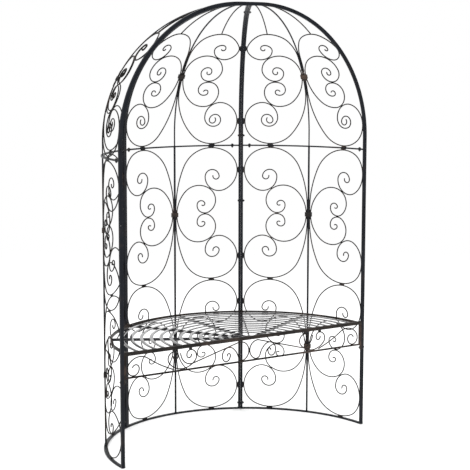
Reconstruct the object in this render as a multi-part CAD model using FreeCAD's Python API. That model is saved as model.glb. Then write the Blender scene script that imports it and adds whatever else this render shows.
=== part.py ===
import FreeCAD, Part
import math
import os

# Half-round garden pavilion of steel, with a bench across it.
# Plan: a half circle, open at the front. +X is to the right, +Y is to the back, +Z is up.
# Three equal screens stand side by side, and three curved gores close the top as a half dome.
# The origin is on the ground, in the middle of the plan's bounding box.

Vector = FreeCAD.Vector

# ---- driving dimensions, in millimetres and degrees ----
plan_radius = 620.0          # centre line of the frame, in plan
spring_height = 1258.0       # top of the screens, where the half dome starts
dome_straight = 57.0         # straight lower ends of the dome's tubes, below their bend
tip_straight = 48.0          # straight upper ends, between their bend and the tip
seat_height = 480.0          # top of the bench
screen_angle = 60.0          # plan angle of one screen

post_depth = 15.0            # rectangular tube, across the screen
post_width = 10.0            # rectangular tube, along the screen
post_wall = 1.2
joint_gap = 1.0              # between the two posts of neighbouring screens
flat_width = 15.0            # flat bar of the rims at the spring line and at the base
flat_thickness = 3.0
base_height = 6.0
mid_bar = 7.0                # square bar in the middle of each screen
gore_bar = 5.0               # square bar in the middle of each gore
scroll_rod = 5.0             # round bar of every scroll
clip_gap = 4.0               # weld clips hold the scrolls this far off posts and flats
clip_length = 28.0
clip_depth = 5.0
collar_height = 20.0
collar_wall = 2.0
collar_play = 0.5
gore_collar_play = 1.4
curl_blend = 40.0            # height over which an inner scroll opens so that its curls just touch

slat_width = 15.0
slat_thickness = 3.0
slat_pitch = 41.75
slat_count = 12
rim_radius = 596.0           # outer face of the bench's rim
rim_thickness = 4.0
rail_height = 15.0           # front rail of the bench
support_height = 12.0
support_thickness = 5.0
hub_radius = 34.0
apron_drop = 104.0           # seat top to the top of the apron's lower rail
lower_rail_height = 6.0
end_bar_width = 10.0
lug_height = 22.0
lug_thickness = 3.0

bolt_diameter = 6.0
bolt_hole = 6.6
head_diameter = 10.0
head_height = 4.0
head_rounding = 2.4
nut_width = 10.0
nut_height = 5.0
thread_end = 3.0             # shank showing past its nut
washer_diameter = 15.0
washer_thickness = 1.5
spring_bolt_offset = 40.0    # from a screen's edge, along the rim
screen_bolt_heights = (29.0, 999.0)
gore_bolt_lengths = (46.0, 774.0)
rear_bolt_diameter = 4.0
rear_head_diameter = 7.5
bracket_height = 26.0
bracket_thickness = 3.0
plug_length = 14.0
plug_play = 0.1

# ---- worked out from the driving dimensions ----
rod_radius = scroll_rod / 2
post_offset = joint_gap / 2 + post_width / 2
post_face = joint_gap / 2 + post_width
half_angle = screen_angle / 2
front_face = joint_gap / 2
back_face = plan_radius + post_depth / 2
shift = Vector(0, -(front_face + back_face) / 2, 0)
screen_names = ("left", "back", "right")
screen_turns = (screen_angle, 0.0, -screen_angle)
unit_height = (spring_height - flat_thickness - base_height - 3 * clip_gap) / 2
unit_centres = (base_height + clip_gap + unit_height / 2,
                spring_height - flat_thickness - clip_gap - unit_height / 2)
dome_bend = plan_radius - tip_straight
bend_end = dome_straight + dome_bend * math.pi / 2
meridian_length = bend_end + tip_straight
apron_bottom = seat_height - apron_drop
apron_top = seat_height - rail_height
rail_back = front_face + post_width
post_inner_x = plan_radius - post_depth / 2

# ---- scrolls: start, heading and (radius, sweep) of each tangent arc; 0 sweep means a straight ----
# They are drawn for these nominal sizes, and stretched a little to fit the real ones.
drawn_radius = 620.0
drawn_unit_half = 312.9
drawn_reach = 308.95
stem_offset = mid_bar / 2 + rod_radius
belly_offset = mid_bar / 2 + scroll_rod + rod_radius
outer_scroll = ((6.0, 4.0), 90.0, ((24.0, 0), (480, -24), (151, -92), (102, -127),
                                   (67, -117), (34, -171), (15, -204)))
inner_scroll = ((11.0, 0.0), 90.0, ((151, -45), (96, -78), (68, -113), (39, -134),
                                    (20, -140), (9, -169)))
crown_scroll = ((5.0, 357.3), 90.0, ((75.0, 0), (219, -25), (89, -97), (219, -26), (48, -130),
                                     (70, -68), (25, -187), (9, -180)))
foot_scroll = ((5.0, 342.3), -90.0, ((75.0, 0), (319, 42), (135, 84), (92, 132), (67, 106),
                                     (43, 111), (27, 238), (15, 233)))
upper_c = ((10.0, 340.6), 90.0, ((1.0, 0), (120, -28), (80, -65), (101, -70), (49, -188),
                                 (25, -191), (11, -198)))
lower_c = ((10.0, 340.6), -90.0, ((177, 48), (104, 48), (59, 94), (59, 103), (31, 178), (12, 226)))
dome_collar_height = 330.0

# the apron is drawn 612.5 to each side, with rails at 376 and 465
drawn_apron = (612.5, 376.0, 465.0)
centre_scroll = ((47.0, 459.0), 175.0, ((41, 163), (21, 98), (75, -38), (34, -157), (18, -125),
                                        (55, -15), (8, -211)))
lyre_half = ((336.0, 380.5), 180.0, ((83, -48), (29, -132), (18, -84), (53, -7), (11, -200)))
end_scroll = ((571.0, 411.4), 105.0, ((16, 154), (26, 17), (27, 159), (37, 56), (66, 84),
                                      (483, -12), (37.0, 0)))
brace_rod = ((46.0, 459.0), -15.0, ((241.0, 0), (48, 77), (76, 20)))


# ---- bars bent along tangent arcs ----
def trace(scroll, step=60.0):
    """Points and headings along a scroll, at the ends of short arcs."""
    (x, y), heading, arcs = scroll
    turn = math.radians(heading)
    points = [(x, y, turn)]
    for radius, sweep in arcs:
        if sweep == 0:
            x += radius * math.cos(turn)
            y += radius * math.sin(turn)
            points.append((x, y, turn))
            continue
        count = math.ceil(abs(sweep) / step)
        part = math.radians(sweep) / count
        side = math.copysign(radius, sweep)
        for _ in range(count):
            centre_x = x - side * math.sin(turn)
            centre_y = y + side * math.cos(turn)
            turn += part
            x = centre_x + side * math.sin(turn)
            y = centre_y - side * math.cos(turn)
            points.append((x, y, turn))
    return points


def mirrored(points, axis_x=None, axis_y=None):
    """The same path mirrored, walked the other way."""
    out = []
    for x, y, turn in reversed(points):
        if axis_x is not None:
            out.append((2 * axis_x - x, y, -turn))
        else:
            out.append((x, 2 * axis_y - y, math.pi - turn))
    return out


def lift(points, surface):
    """Points and unit tangents in space of a path drawn on a surface."""
    out = []
    nudge = 0.01
    for x, y, turn in points:
        ahead = surface(x + nudge * math.cos(turn), y + nudge * math.sin(turn))
        behind = surface(x - nudge * math.cos(turn), y - nudge * math.sin(turn))
        tangent = ahead - behind
        tangent.normalize()
        out.append((surface(x, y), tangent))
    return out


def arc_edge(start, corner, end):
    """The arc that touches start-corner and corner-end, which are equally long."""
    middle = (start + end) * 0.5
    rise = corner - middle
    half = (end - start).Length / 2
    if rise.Length < 1e-4 * half:
        return Part.LineSegment(start, end).toShape()
    bow = half * math.tan(math.atan2(rise.Length, half) / 2)
    rise.normalize()
    return Part.Arc(start, middle + rise * bow, end).toShape()


def two_arcs(start, start_way, end, end_way):
    """Two arcs in space that leave start and reach end along the given ways."""
    gap = end - start
    ways = start_way + end_way
    bend = 1 - start_way.dot(end_way)
    along = gap.dot(ways)
    if bend < 1e-9:
        reach = gap.dot(gap) / (4 * gap.dot(end_way))
    else:
        reach = (math.sqrt(along ** 2 + 2 * bend * gap.dot(gap)) - along) / (2 * bend)
    first = start + start_way * reach
    second = end - end_way * reach
    joint = (first + second) * 0.5
    return [arc_edge(start, first, joint), arc_edge(joint, second, end)]


def bent_rod(points, surface, radius=rod_radius):
    """A round bar along a path drawn on a surface."""
    path = lift(points, surface)
    edges = []
    for (start, start_way), (end, end_way) in zip(path, path[1:]):
        edges += two_arcs(start, start_way, end, end_way)
    wire = Part.Wire(edges)
    section = Part.Wire(Part.Circle(path[0][0], path[0][1], radius).toShape())
    return wire.makePipeShell([section], True, True)


# ---- places on a screen (its middle faces +Y) and on a gore ----
def reach_angle(radius):
    """Plan angle from the middle of a screen to a scroll that touches its post's clip."""
    return math.radians(half_angle) - math.asin((post_face + clip_gap + rod_radius) / radius)


def screen_point(angle, height, radius=plan_radius):
    return Vector(radius * math.sin(angle), radius * math.cos(angle), height)


def meridian(length, radius=plan_radius):
    """Distance from the axis, rise and slope at a length up the dome, for a plan radius."""
    bend = radius - tip_straight
    turn = min(max(0.0, (length - dome_straight) / bend), math.pi / 2)
    rest = max(0.0, length - dome_straight - bend * math.pi / 2)
    across = tip_straight + bend * math.cos(turn) - rest
    return across, min(length, dome_straight) + bend * math.sin(turn), turn


def length_at(across):
    """Length up the dome at which its centre line is this far from the axis."""
    if across <= tip_straight:
        return meridian_length - across
    return dome_straight + dome_bend * math.acos((across - tip_straight) / dome_bend)


def gore_point(angle, length):
    across, rise, _ = meridian(length)
    return screen_point(angle, spring_height + rise, across)


def stretched(along, offset):
    """Plan angle of a drawn distance from the screen's middle line."""
    share = (along - offset) / (drawn_reach - offset)
    near = offset / plan_radius
    return near + share * (reach_angle(plan_radius) - near)


def screen_surface(centre, way, offset, side):
    """Maps a drawn scroll onto a screen: way is +1 above the unit's centre, -1 below it."""
    def place(x, y):
        rise = y * (unit_height / 2 - rod_radius) / drawn_unit_half
        return screen_point(side * stretched(x, offset), centre + way * rise)
    return place


def dome_length(drawn):
    """Length up the dome's meridian of a drawn height."""
    low = flat_thickness + clip_gap + rod_radius
    drawn_bend = (drawn_radius - tip_straight) * math.pi / 2
    return low + (drawn - low) * bend_end / (dome_straight + drawn_bend)


def drawn_share(x, y):
    """How far across a gore a drawn point lies: 1 touches the post's clip."""
    across = meridian(y, drawn_radius)[0]
    return x / (across * reach_angle(across))


def gore_surface(side):
    """Maps a drawn scroll onto a gore: x across it, y up its middle line."""
    def place(x, y):
        length = dome_length(y)
        return gore_point(side * drawn_share(x, y) * reach_angle(meridian(length)[0]), length)
    return place


def turned(shape, degrees):
    """A screen's piece, turned to its place round the plan's centre and shifted to the origin."""
    copy = shape.copy()
    copy.rotate(Vector(0, 0, 0), Vector(0, 0, 1), degrees)
    copy.translate(shift)
    return copy


def box_at(centre, across, along, up, angle=0.0):
    """A box round a point: along the screen, across it and up, turned to a plan angle."""
    box = Part.makeBox(along, across, up, Vector(-along / 2, -across / 2, -up / 2))
    box.rotate(Vector(0, 0, 0), Vector(0, 0, 1), -math.degrees(angle))
    box.translate(centre)
    return box


def raised(shape, length):
    """Moves a piece made at the spring line up the dome, to a length along its meridian."""
    across, rise, turn = meridian(length)
    copy = shape.copy()
    copy.rotate(Vector(0, plan_radius, spring_height), Vector(1, 0, 0), math.degrees(turn))
    copy.translate(Vector(0, across - plan_radius, rise))
    return copy


# ---- screens ----
def post_tube(length):
    outer = Part.makeBox(post_width, post_depth, length, Vector(-post_width / 2, -post_depth / 2, 0))
    inner = Part.makeBox(post_width - 2 * post_wall, post_depth - 2 * post_wall, length,
                         Vector(-post_width / 2 + post_wall, -post_depth / 2 + post_wall, 0))
    return outer.cut(inner)


def beside_joint(shape, side):
    """Moves a piece made on the joint's meridian (+Y) to a screen's side."""
    copy = shape.copy()
    if side < 0:
        copy = copy.mirror(Vector(0, 0, 0), Vector(1, 0, 0))
    copy.rotate(Vector(0, 0, 0), Vector(0, 0, 1), -side * half_angle)
    return copy


def joint_hole(height):
    hole = Part.makeCylinder(bolt_hole / 2, 4 * post_face,
                             Vector(-2 * post_face, plan_radius, height), Vector(1, 0, 0))
    return hole


def screen_posts():
    post = post_tube(spring_height)
    post.translate(Vector(-post_offset, plan_radius, 0))
    for height in screen_bolt_heights:
        post = post.cut(joint_hole(height))
    return [beside_joint(post, side) for side in (-1, 1)]


def drilled_for_bench(posts, holes):
    """Cuts the bench's bolt holes into a screen's posts."""
    for hole in holes:
        posts = [post.cut(hole) if post.distToShape(hole)[0] < 0.01 else post for post in posts]
    return posts


def curved_flat(low, high, width):
    """A flat bar bent round the plan, between the two posts of a screen."""
    ring = Part.makeCylinder(plan_radius + width / 2, high - low, Vector(0, 0, low))
    ring = ring.cut(Part.makeCylinder(plan_radius - width / 2, high - low, Vector(0, 0, low)))
    reach = 2 * plan_radius
    for side in (-1, 1):
        outside = Part.makeBox(reach, 2 * reach, high - low + 2, Vector(-post_face, -reach, low - 1))
        ring = ring.cut(beside_joint(outside, side))
    front = Part.makeBox(2 * reach, reach, high - low + 2, Vector(-reach, -reach, low - 1))
    return ring.cut(front)


def spring_bolt_angle():
    return math.radians(half_angle) - spring_bolt_offset / plan_radius


def spring_hole(side):
    place = screen_point(side * spring_bolt_angle(), spring_height - 2 * flat_thickness)
    return Part.makeCylinder(bolt_hole / 2, 4 * flat_thickness, place)


def drilled_flat(low, high):
    flat = curved_flat(low, high, flat_width)
    for side in (-1, 1):
        flat = flat.cut(spring_hole(side))
    return flat


def outer_scrolls():
    """The S-shaped outer scrolls: one up and one down from each collar, on both sides."""
    path = trace(outer_scroll)
    rods = []
    for centre in unit_centres:
        for way in (-1, 1):
            for side in (-1, 1):
                rods.append(bent_rod(path, screen_surface(centre, way, stem_offset, side)))
    return rods


def inner_scrolls():
    """The C-shaped inner scrolls, one on each side of every collar."""
    half = trace(inner_scroll)
    path = mirrored(half, axis_y=0.0)[:-1] + half
    lowest = min(y for _, y, turn in trace(inner_scroll, 5.0) if turn < 0)
    rods = []
    for centre in unit_centres:
        for side in (-1, 1):
            place = screen_surface(centre, 1, belly_offset, side)
            rods.append(bent_rod(spread(path, rod_radius - lowest), place))
    return rods


def spread(path, gap):
    """Opens a C scroll so that its two curls touch at the middle, but don't overlap."""
    out = []
    for x, y, turn in path:
        share = min(1.0, abs(y) / curl_blend)
        out.append((x, y + math.copysign(gap * (1 - share), y) if y else y, turn))
    return out


def screen_collars():
    """Bands that gather the middle bar, the stems and the bellies of the scrolls."""
    inner_along = mid_bar + 4 * scroll_rod + 2 * collar_play
    inner_across = mid_bar + 2 * collar_play
    bands = []
    for centre in unit_centres:
        place = screen_point(0.0, centre)
        band = box_at(place, inner_across + 2 * collar_wall, inner_along + 2 * collar_wall, collar_height)
        bands.append(band.cut(box_at(place, inner_across, inner_along, collar_height + 2)))
    return bands


def post_clip(height, gap=clip_gap):
    return Part.makeBox(gap, clip_depth, clip_length,
                        Vector(-post_face - gap, plan_radius - clip_depth / 2,
                               height - clip_length / 2))


def extreme(scroll, pick):
    """The point of a drawn scroll that lies furthest one way."""
    return max(trace(scroll, 2.0), key=pick)


def screen_clips():
    """Small flats that hold the scrolls off posts and rims, and the units off each other."""
    scale = (unit_height / 2 - rod_radius) / drawn_unit_half
    side_rise = extreme(outer_scroll, lambda point: point[0])[1] * scale
    top_x = extreme(outer_scroll, lambda point: point[1])[0]
    clips = []
    for side in (-1, 1):
        for centre in unit_centres:
            for way in (-1, 1):
                clips.append(beside_joint(post_clip(centre + way * side_rise), side))
        angle = side * stretched(top_x, stem_offset)
        levels = (base_height + clip_gap / 2, (unit_centres[0] + unit_centres[1]) / 2,
                  spring_height - flat_thickness - clip_gap / 2)
        for level in levels:
            clips.append(box_at(screen_point(angle, level), clip_depth, clip_length, clip_gap, angle))
    return clips


def screen_mid_bar():
    length = spring_height - flat_thickness - base_height
    place = screen_point(0.0, base_height + length / 2)
    return box_at(place, mid_bar, mid_bar, length)


# ---- gores of the half dome ----
def along_meridian(face, low, high):
    """Sweeps a section made at the spring line up the dome, from one length to another."""
    stops = [low] + [stop for stop in (dome_straight, bend_end) if low < stop < high] + [high]
    pieces = []
    for start, end in zip(stops, stops[1:]):
        begin = raised(face, start)
        if dome_straight <= start < bend_end:
            hinge = Vector(0, tip_straight, spring_height + dome_straight)
            pieces.append(begin.revolve(hinge, Vector(1, 0, 0), math.degrees((end - start) / dome_bend)))
        else:
            turn = meridian(start)[2]
            pieces.append(begin.extrude(Vector(0, -math.sin(turn), math.cos(turn)) * (end - start)))
    solid = pieces[0]
    for piece in pieces[1:]:
        solid = solid.fuse(piece)
    return solid.removeSplitter()


def section(across, along, offset_x=0.0):
    corner = Vector(offset_x - along / 2, plan_radius - across / 2, spring_height)
    points = [corner, corner + Vector(along, 0, 0), corner + Vector(along, across, 0),
              corner + Vector(0, across, 0), corner]
    return Part.Face(Part.makePolygon(points))


def gore_posts():
    """The two bent tubes of a gore, mitred to each other at the tip."""
    tube = section(post_depth, post_width, -post_offset)
    bore = section(post_depth - 2 * post_wall, post_width - 2 * post_wall, -post_offset)
    post = along_meridian(tube.cut(bore), 0.0, meridian_length)
    for length in gore_bolt_lengths:
        post = post.cut(raised(joint_hole(spring_height), length))
    reach = 2 * plan_radius
    beyond = Part.makeBox(reach, 2 * reach, reach, Vector(-reach, -reach, spring_height - 1))
    beyond.rotate(Vector(0, 0, 0), Vector(0, 0, 1), half_angle)
    post = post.cut(beyond)
    return [beside_joint(post, side) for side in (-1, 1)]


def gore_end(half_width, angle):
    """Length up the dome at which a bar at a plan angle meets the posts."""
    return length_at((post_face + half_width) / math.sin(math.radians(half_angle) - abs(angle)))


def gore_mid_bar():
    return along_meridian(section(gore_bar, gore_bar), flat_thickness, gore_end(gore_bar / 2, 0.0))


def gore_rods():
    """Thin bars that run on from the tops of the crown scrolls to the tip."""
    top_x, top_y, _ = extreme(crown_scroll, lambda point: point[1])
    top = gore_surface(1)(top_x, top_y)
    angle = math.atan2(top.x, top.y)
    circle = Part.Circle(Vector(0, plan_radius, spring_height), Vector(0, 0, 1), rod_radius)
    rod = along_meridian(Part.Face(Part.Wire(circle.toShape())),
                         dome_length(top_y) + rod_radius, gore_end(rod_radius, angle))
    rods = []
    for side in (-1, 1):
        copy = rod.copy()
        copy.rotate(Vector(0, 0, 0), Vector(0, 0, 1), -math.degrees(side * angle))
        rods.append(copy)
    return rods


def gore_outer_scrolls():
    rods = []
    for side in (-1, 1):
        for scroll in (crown_scroll, foot_scroll):
            rods.append(bent_rod(trace(scroll), gore_surface(side)))
    return rods


def gore_inner_scrolls():
    down = trace(lower_c)
    back_up = [(x, y, turn + math.pi) for x, y, turn in reversed(down)]
    path = back_up[:-1] + trace(upper_c)
    return [bent_rod(path, gore_surface(side)) for side in (-1, 1)]


def gore_collar():
    inner_along = gore_bar + 4 * scroll_rod + 2 * gore_collar_play
    inner_across = gore_bar + 2 * collar_play
    place = Vector(0, plan_radius, spring_height)
    band = box_at(place, inner_across + 2 * collar_wall, inner_along + 2 * collar_wall, collar_height)
    band = band.cut(box_at(place, inner_across, inner_along, collar_height + 2))
    return raised(band, dome_length(dome_collar_height))


def gore_clips():
    """Small flats that hold a gore's scrolls off its posts and its bottom flat."""
    clips = []
    foot_x, foot_y, _ = extreme(foot_scroll, lambda point: -point[1])
    foot = gore_surface(1)(foot_x, foot_y)
    angle = math.atan2(foot.x, foot.y)
    gap = foot.z - rod_radius - spring_height - flat_thickness
    level = spring_height + flat_thickness + gap / 2
    for side in (-1, 1):
        for scroll in (crown_scroll, foot_scroll):
            share, widest = max((drawn_share(x, y), y) for x, y, _ in trace(scroll, 2.0))
            across = meridian(dome_length(widest))[0]
            spare = (1 - share) * reach_angle(across) * across
            clip = post_clip(spring_height, clip_gap + spare)
            clips.append(beside_joint(raised(clip, dome_length(widest)), side))
        clips.append(box_at(screen_point(side * angle, level), clip_depth, clip_length, gap,
                            side * angle))
    return clips


# ---- bench ----
def half_ring(outer, inner, low, high, front):
    """A flat half ring behind the line y = front."""
    ring = Part.makeCylinder(outer, high - low, Vector(0, 0, low))
    ring = ring.cut(Part.makeCylinder(inner, high - low, Vector(0, 0, low)))
    keep = Part.makeBox(2 * outer + 2, outer + 2, high - low, Vector(-outer - 1, front, low))
    return ring.common(keep)


def bench_slats():
    slats = []
    for number in range(1, slat_count + 1):
        outer = rim_radius - number * slat_pitch
        slats.append(half_ring(outer, outer - slat_width, seat_height - slat_thickness,
                               seat_height, rail_back))
    return slats


def bench_rim():
    return half_ring(rim_radius, rim_radius - rim_thickness, seat_height - rail_height,
                     seat_height, rail_back)


def support_bar(angle, outer):
    bar = Part.makeBox(support_thickness, outer - hub_radius, support_height,
                       Vector(-support_thickness / 2, hub_radius,
                              seat_height - slat_thickness - support_height))
    bar.rotate(Vector(0, 0, 0), Vector(0, 0, 1), 90.0 - angle)
    return bar


def bench_supports():
    """Bars under the slats, from the hub to the rim."""
    inside_rim = math.sqrt((rim_radius - rim_thickness) ** 2 - (support_thickness / 2) ** 2)
    angles = [half_angle * number for number in range(1, 6)]
    return [support_bar(angle, inside_rim) for angle in angles]


def bench_hub():
    low = seat_height - slat_thickness - support_height
    return half_ring(hub_radius, 0.001, low, low + support_height, rail_back)


def square_tube(length, height, depth):
    outer = Part.makeBox(length, depth, height, Vector(-length / 2, front_face, -height))
    inner = Part.makeBox(length, depth - 2 * post_wall, height - 2 * post_wall,
                         Vector(-length / 2, front_face + post_wall, -height + post_wall))
    return outer.cut(inner)


def bench_front_rail():
    rail = square_tube(2 * post_inner_x, rail_height, post_width)
    rail.translate(Vector(0, 0, seat_height))
    return rail


def apron_lower_rail():
    return Part.makeBox(2 * post_inner_x, post_width, lower_rail_height,
                        Vector(-post_inner_x, front_face, apron_bottom - lower_rail_height))


def apron_end_bars():
    bars = []
    for side in (-1, 1):
        low_x = min(side * post_inner_x, side * (post_inner_x - end_bar_width))
        bars.append(Part.makeBox(end_bar_width, post_width, apron_top - apron_bottom,
                                 Vector(low_x, front_face, apron_bottom)))
    return bars


def end_bolt_height():
    return apron_bottom - lower_rail_height - lug_height / 2


def apron_lugs():
    """Plates under the ends of the lower rail, bolted to the front posts."""
    lugs = []
    low = apron_bottom - lower_rail_height - lug_height
    for side in (-1, 1):
        low_x = min(side * post_inner_x, side * (post_inner_x - lug_thickness))
        lug = Part.makeBox(lug_thickness, post_width, lug_height, Vector(low_x, front_face, low))
        lugs.append(lug.cut(end_hole(side)))
    return lugs


def end_hole(side):
    start = Vector(side * (post_inner_x - 2 * lug_thickness), post_offset, end_bolt_height())
    return Part.makeCylinder(bolt_hole / 2, post_depth + 4 * lug_thickness, start, Vector(side, 0, 0))


def apron_surface(side, layer):
    """Maps a drawn apron scroll into the front plane: layer 0 is in front, 1 is behind."""
    drawn_length, drawn_low, drawn_high = drawn_apron
    depth = front_face + rod_radius + layer * scroll_rod

    def place(x, y):
        height = apron_bottom + (y - drawn_low) * (apron_top - apron_bottom) / (drawn_high - drawn_low)
        return Vector(side * x * post_inner_x / drawn_length, depth, height)
    return place


def apron_scrolls():
    """Two S scrolls that touch in the middle, and a lyre-shaped scroll on each side."""
    half = trace(lyre_half)
    lyre = mirrored(half, axis_x=lyre_half[0][0])
    lyre = [(x, y, turn + 2 * math.pi) for x, y, turn in lyre]
    rods = []
    for side in (-1, 1):
        place = apron_surface(side, 0)
        rods.append(bent_rod(trace(centre_scroll), place))
        rods.append(bent_rod(lyre[:-1] + half, place))
    return rods


def apron_braces():
    """Long bars behind the scrolls: the end scrolls run on as braces, and two more meet the middle."""
    rods = []
    for side in (-1, 1):
        place = apron_surface(side, 1)
        rods.append(bent_rod(trace(end_scroll), place))
        rods.append(bent_rod(trace(brace_rod), place))
    return rods


def apron_clips():
    """Flats between the lyre scrolls and the two rails."""
    lowest = lyre_half[0][1]
    highest_x, highest, _ = extreme(lyre_half, lambda point: point[1])
    clips = []
    for side in (-1, 1):
        place = apron_surface(side, 0)
        centre = place(lyre_half[0][0], lowest)
        foot = Part.makeBox(clip_length, scroll_rod, centre.z - rod_radius - apron_bottom)
        foot.translate(Vector(centre.x - clip_length / 2, front_face, apron_bottom))
        clips.append(foot)
        for x in (highest_x, 2 * lyre_half[0][0] - highest_x):
            top = place(x, highest)
            length = clip_length / 2
            clip = Part.makeBox(length, scroll_rod, apron_top - top.z - rod_radius)
            clip.translate(Vector(top.x - length / 2, front_face, top.z + rod_radius))
            clips.append(clip)
    return clips


# ---- the bench's brackets at the two joints behind it ----
def rear_bracket():
    """A plate across the double post, welded to the rim and bolted to both posts."""
    inner_face = plan_radius - post_depth / 2
    low = seat_height - rail_height
    plate = Part.makeBox(2 * post_face, bracket_thickness, bracket_height,
                         Vector(-post_face, inner_face - bracket_thickness,
                                low + rail_height - bracket_height))
    arm_start = math.sqrt(rim_radius ** 2 - (support_thickness / 2) ** 2)
    arm = Part.makeBox(support_thickness, inner_face - bracket_thickness - arm_start, support_height,
                       Vector(-support_thickness / 2, arm_start,
                              seat_height - slat_thickness - support_height))
    bracket = plate.fuse(arm).removeSplitter()
    for side in (-1, 1):
        bracket = bracket.cut(rear_hole(side))
    return bracket


def rear_bolt_height():
    return seat_height - bracket_height + rear_head_diameter


def rear_hole(side):
    start = Vector(side * post_offset, plan_radius - post_depth, rear_bolt_height())
    return Part.makeCylinder(rear_bolt_diameter / 2 + 0.2, 2 * post_depth, start, Vector(0, 1, 0))


def at_joints(shape):
    """Copies of a piece made on +Y, at the two joints between screens."""
    copies = []
    for side in (-1, 1):
        copy = shape.copy()
        copy.rotate(Vector(0, 0, 0), Vector(0, 0, 1), side * half_angle)
        copies.append(copy)
    return copies


# ---- fasteners ----
def bolt(start, way, grip, diameter=bolt_diameter, head=head_diameter, tail=nut_height + thread_end):
    """A round-headed bolt whose head sits at start, with a shank through the grip."""
    unit = Vector(way)
    unit.normalize()
    cap = Part.makeCylinder(head / 2, head_height, start - unit * head_height, unit)
    rim = [edge for edge in cap.Edges if edge.Closed
           and (edge.CenterOfMass - (start - unit * head_height)).Length < 0.01]
    cap = cap.makeFillet(head_rounding, rim)
    shank = Part.makeCylinder(diameter / 2, grip + tail, start, unit)
    return cap.fuse(shank).removeSplitter()


def nut(start, way, width=nut_width, bore=bolt_diameter, height=nut_height):
    """A hexagon nut whose face sits at start."""
    unit = Vector(way)
    unit.normalize()
    corners = []
    for number in range(7):
        turn = math.radians(60 * number)
        corners.append(Vector(width / math.sqrt(3) * math.cos(turn),
                              width / math.sqrt(3) * math.sin(turn), 0))
    prism = Part.Face(Part.makePolygon(corners)).extrude(Vector(0, 0, height))
    prism = prism.cut(Part.makeCylinder(bore / 2, height))
    prism.Placement = FreeCAD.Placement(start, FreeCAD.Rotation(Vector(0, 0, 1), unit))
    return prism


def washer(start, way):
    ring = Part.makeCylinder(washer_diameter / 2, washer_thickness)
    ring = ring.cut(Part.makeCylinder(bolt_hole / 2, washer_thickness))
    ring.Placement = FreeCAD.Placement(start, FreeCAD.Rotation(Vector(0, 0, 1), Vector(way)))
    return ring


def joint_bolts():
    head_side = Vector(-post_face, plan_radius, 0)
    bolts = []
    for height in screen_bolt_heights:
        bolts += at_joints(bolt(head_side + Vector(0, 0, height), (1, 0, 0), 2 * post_face))
    for length in gore_bolt_lengths:
        low = bolt(head_side + Vector(0, 0, spring_height), (1, 0, 0), 2 * post_face)
        bolts += at_joints(raised(low, length))
    return bolts


def joint_nuts():
    nut_side = Vector(post_face, plan_radius, 0)
    nuts = []
    for height in screen_bolt_heights:
        nuts += at_joints(nut(nut_side + Vector(0, 0, height), (1, 0, 0)))
    for length in gore_bolt_lengths:
        low = nut(nut_side + Vector(0, 0, spring_height), (1, 0, 0))
        nuts += at_joints(raised(low, length))
    return nuts


def spring_places():
    places = []
    for turn in screen_turns:
        for side in (-1, 1):
            angle = side * spring_bolt_angle() - math.radians(turn)
            places.append(screen_point(angle, spring_height))
    return places


def spring_bolts():
    lift_off = Vector(0, 0, flat_thickness + washer_thickness)
    grip = 2 * flat_thickness + washer_thickness
    return [bolt(place + lift_off, (0, 0, -1), grip) for place in spring_places()]


def spring_nuts():
    drop = Vector(0, 0, -flat_thickness)
    return [nut(place + drop, (0, 0, -1)) for place in spring_places()]


def spring_washers():
    rise = Vector(0, 0, flat_thickness)
    return [washer(place + rise, (0, 0, 1)) for place in spring_places()]


def bench_bolts():
    bolts = []
    for side in (-1, 1):
        start = Vector(side * (plan_radius + post_depth / 2), post_offset, end_bolt_height())
        bolts.append(bolt(start, (-side, 0, 0), post_depth + lug_thickness))
    inner_face = plan_radius - post_depth / 2
    for side in (-1, 1):
        start = Vector(side * post_offset, inner_face - bracket_thickness, rear_bolt_height())
        bolts += at_joints(bolt(start, (0, 1, 0), post_depth + bracket_thickness,
                                rear_bolt_diameter, rear_head_diameter, nut_height))
    return bolts


def bench_nuts():
    nuts = []
    for side in (-1, 1):
        start = Vector(side * (post_inner_x - lug_thickness), post_offset, end_bolt_height())
        nuts.append(nut(start, (-side, 0, 0)))
    for side in (-1, 1):
        start = Vector(side * post_offset, plan_radius + post_depth / 2, rear_bolt_height())
        nuts += at_joints(nut(start, (0, 1, 0), rear_head_diameter, rear_bolt_diameter, head_height))
    return nuts


def post_plugs():
    """Plastic plugs in the open feet of the six posts."""
    plug = Part.makeBox(post_width - 2 * post_wall - 2 * plug_play,
                        post_depth - 2 * post_wall - 2 * plug_play, plug_length)
    plug.translate(Vector(-post_offset - post_width / 2 + post_wall + plug_play,
                          plan_radius - post_depth / 2 + post_wall + plug_play, 0))
    plugs = []
    for turn in screen_turns:
        for side in (-1, 1):
            copy = beside_joint(plug, side)
            copy.rotate(Vector(0, 0, 0), Vector(0, 0, 1), turn)
            plugs.append(copy)
    return plugs


# ---- all the nodes ----
def bench_holes():
    """Bolt holes that the bench needs in the posts, at their places in the plan."""
    holes = [end_hole(side) for side in (-1, 1)]
    for side in (-1, 1):
        holes += at_joints(rear_hole(side))
    return holes


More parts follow.
